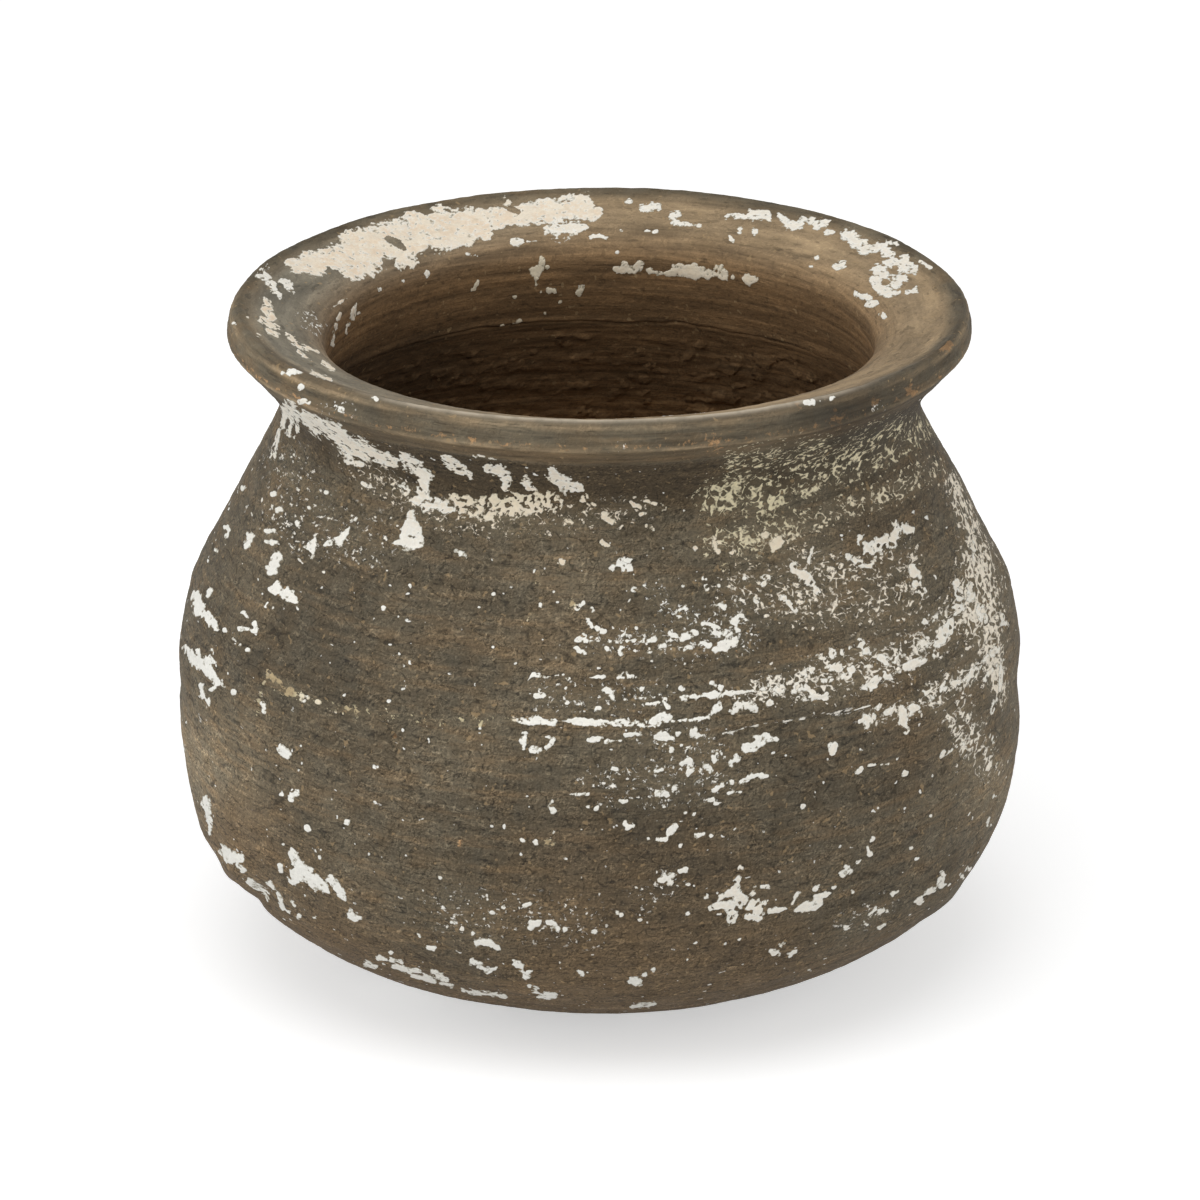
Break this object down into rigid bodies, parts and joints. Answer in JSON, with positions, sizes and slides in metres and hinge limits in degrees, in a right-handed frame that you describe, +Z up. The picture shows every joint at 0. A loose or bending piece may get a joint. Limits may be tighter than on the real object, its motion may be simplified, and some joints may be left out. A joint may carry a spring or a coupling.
{
  "type": "terracotta water pot",
  "caption": "Round-bellied terracotta water pot with a sloping shoulder, hollow neck, flared mouth, folded lip and worn limewash, for storing and cooling water.",
  "frame": {"origin": "centre of the flat that the pot stands on", "axes": "+Z up along the pot's axis; the pictured front faces -Y, with +X to its right"},
  "size_m": [0.3, 0.3, 0.2415],
  "materials": {
    "bowl_clay": "matte, warm brown, smoke-stained",
    "shoulder_clay": "matte, grey-brown with limewash remnants",
    "collar_clay": "matte, grey-brown, worn",
    "lip_clay": "matte, rubbed edge with orange chips",
    "seam_clay": "matte, with limewash caught along its edge",
    "inner_clay": "matte, bare brown clay",
    "limewash": "chalky, flaking remnants of a limewash coat"
  },
  "bodies": {
    "root": {"lower_bowl": "bowl_clay", "shoulder_wall": "shoulder_clay", "neck_collar": "collar_clay", "rim_lip": "lip_clay", "belly_seam_strip": "seam_clay", "belly_seam_coil": "inner_clay", "neck_seam_coil": "inner_clay"}
  },
  "joints": []
}
